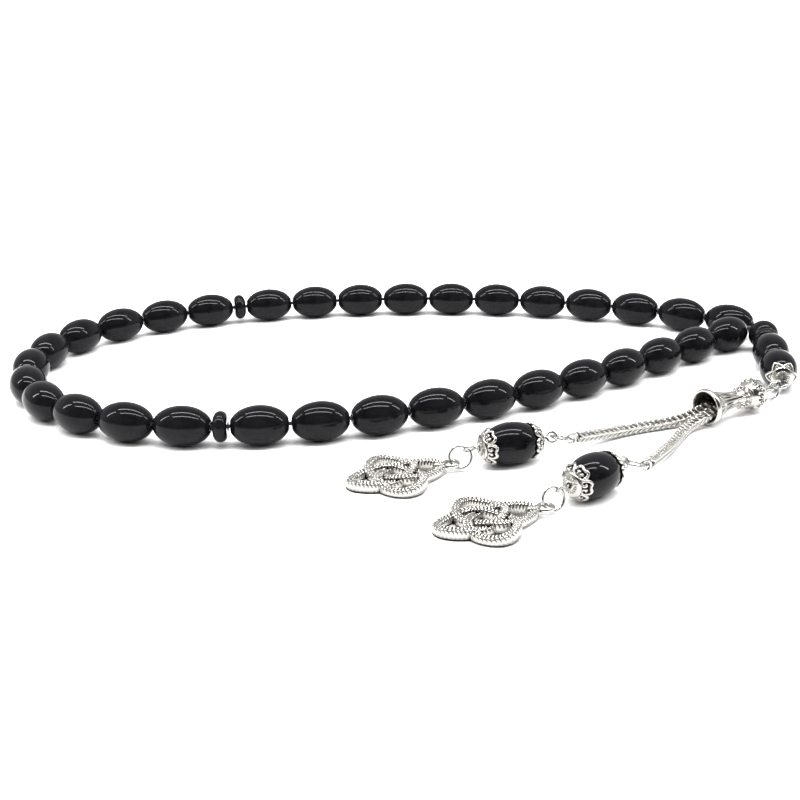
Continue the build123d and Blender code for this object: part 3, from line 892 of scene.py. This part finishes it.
def tassel(stone, cast, wire, metal):
    """Everything below the leader."""
    for name in ("leader_loop", "link_ring"):
        piece(name + "_wire", wire_ring(name), wire, "antique_silver", name, name)
    matrix = joint_frame("holder_spin")
    shell = moved(holder_shape(), matrix)
    piece("holder_cast", shell, cast, "antique_silver", "tassel_holder", "tassel_holder")
    lining = moved(holder_shade_sheet(), matrix)
    # painted shade: a thin dark sheet over the inside of the bell
    piece("holder_shade_sheet", lining, painted_bell_shade(), "antique_silver", "tassel_holder")
    upright = np.array((0, 0, 1.0))
    roll = Matrix.Rotation(radians(-13.0), 3, Vector(matrix.to_3x3() @ Vector((1, 0, 0))))
    eyes = [(4.9, 0.8, upright), (18.1, 1.1, np.array(roll @ Vector(upright)))]
    pin = eye_pin(matrix, eyes, 0.28)
    piece("holder_pin_wire", pin, wire, "antique_silver", "holder_pin", "holder_pin")
    chains(metal, wire)
    for number in (1, 2):
        pendant(number, stone, cast, wire, metal)


def leader_cap(cast):
    """The petalled cap at the leader's end."""
    matrix = joint_frame("spin_leader_bead_2")
    cap = moved(cap_shape(LEADER_CAP_HOLE, leaf_petal), matrix)
    piece("leader_cap_cast", cap, cast, "antique_silver", "leader_bead_2", "leader_cap")


# ---------------------------------------------------------------- table, light and camera

def table():
    """The white table top, far wider than the view."""
    size = 20000.0
    points = np.array([(-size, -size, 0), (size, -size, 0), (size, size, 0), (-size, size, 0)])
    made = thing("table_top", (points - (0, 0, 0.02), [[0, 1, 2, 3]]), white_table())


def strip_light(name, place, size, power):
    """A flat light that faces the middle of the table, all in metres."""
    data = bpy.data.lights.new(name, "AREA")
    data.shape = "RECTANGLE"
    data.size, data.size_y = size
    data.energy = power
    made = bpy.data.objects.new(name, data)
    made.location = place
    made.rotation_euler = (Vector((0, 0, 0)) - Vector(place)).to_track_quat("-Z", "Y").to_euler()
    bpy.context.scene.collection.objects.link(made)


DAYLIGHT = 2.6                   # strength of the even light from all over the sky


def lights():
    """An even soft light from above, and the four thin lamps of a light tent that the beads mirror."""
    data = bpy.data.lights.new("even_daylight", "SUN")
    data.energy = DAYLIGHT
    data.angle = radians(110.0)
    sun = bpy.data.objects.new("even_daylight", data)
    sun.visible_glossy = False
    bpy.context.scene.collection.objects.link(sun)
    strip_light("tent_front", (0, -0.172, 0.6), (0.8, 0.03), 3.7)
    strip_light("tent_back", (0, 0.1, 0.6), (0.8, 0.03), 3.7)
    for side, name in ((-1, "tent_side_left"), (1, "tent_side_right")):
        strip_light(name, (side * 0.8, -0.05, 0.6), (0.03, 0.5), 3.0)


def surroundings():
    """The inside of a light tent: pale all round, and dark on its open front side, except low down."""
    world = bpy.data.worlds.new("light_tent")
    bpy.context.scene.world = world
    world.use_nodes = True
    tree = world.node_tree
    background = tree.nodes["Background"]
    place = node(tree, "ShaderNodeTexCoord")
    split = node(tree, "ShaderNodeSeparateXYZ")
    tree.links.new(place.outputs["Generated"], split.inputs["Vector"])
    height = ramp(tree, split.outputs["Z"], [(0.0, 0.95), (0.08, 0.9), (0.5, 0.75), (1.0, 0.7)])
    shift = node(tree, "ShaderNodeMath", operation="MULTIPLY_ADD")
    tree.links.new(split.outputs["Y"], shift.inputs[0])
    shift.inputs[1].default_value = 0.5
    shift.inputs[2].default_value = 0.5
    front = ramp(tree, shift.outputs["Value"], [(0.25, 0.0), (0.52, 1.0)])
    low = ramp(tree, split.outputs["Z"], [(0.06, 1.0), (0.14, 0.0)])
    open_side = node(tree, "ShaderNodeMath", operation="MAXIMUM")
    tree.links.new(front, open_side.inputs[0])
    tree.links.new(low, open_side.inputs[1])
    shade = node(tree, "ShaderNodeMath", operation="MULTIPLY")
    tree.links.new(height, shade.inputs[0])
    tree.links.new(open_side.outputs["Value"], shade.inputs[1])
    tree.links.new(shade.outputs["Value"], background.inputs["Color"])


def camera():
    """The photograph's view."""
    data = bpy.data.cameras.new("camera")
    data.lens = CAMERA_LENS
    data.sensor_width = 36.0
    data.clip_start = 0.01
    data.clip_end = 100.0
    made = bpy.data.objects.new("camera", data)
    bpy.context.scene.collection.objects.link(made)
    pitch, roll = radians(CAMERA_PITCH), radians(CAMERA_ROLL)
    ahead = Vector((0, cos(pitch), sin(pitch)))
    right = Vector((1, 0, 0))
    upward = right.cross(ahead)
    turned_right = right * cos(roll) - upward * sin(roll)
    turned_up = right * sin(roll) + upward * cos(roll)
    made.matrix_world = Matrix.Translation(Vector(CAMERA_PLACE) * MM) @ Matrix(
        (turned_right, turned_up, -ahead)
    ).transposed().to_4x4()
    bpy.context.scene.camera = made


camera()
table()
lights()
surroundings()
bpy.context.scene.view_settings.view_transform = "Standard"

stone = black_stone()
cast = cast_silver()
wire = bright_wire()
metal = chain_silver()
frame["nodes"]["string"].data.materials.clear()
frame["nodes"]["string"].data.materials.append(black_cord())
string_beads(stone)
leader_cap(cast)
tassel(stone, cast, wire, metal)
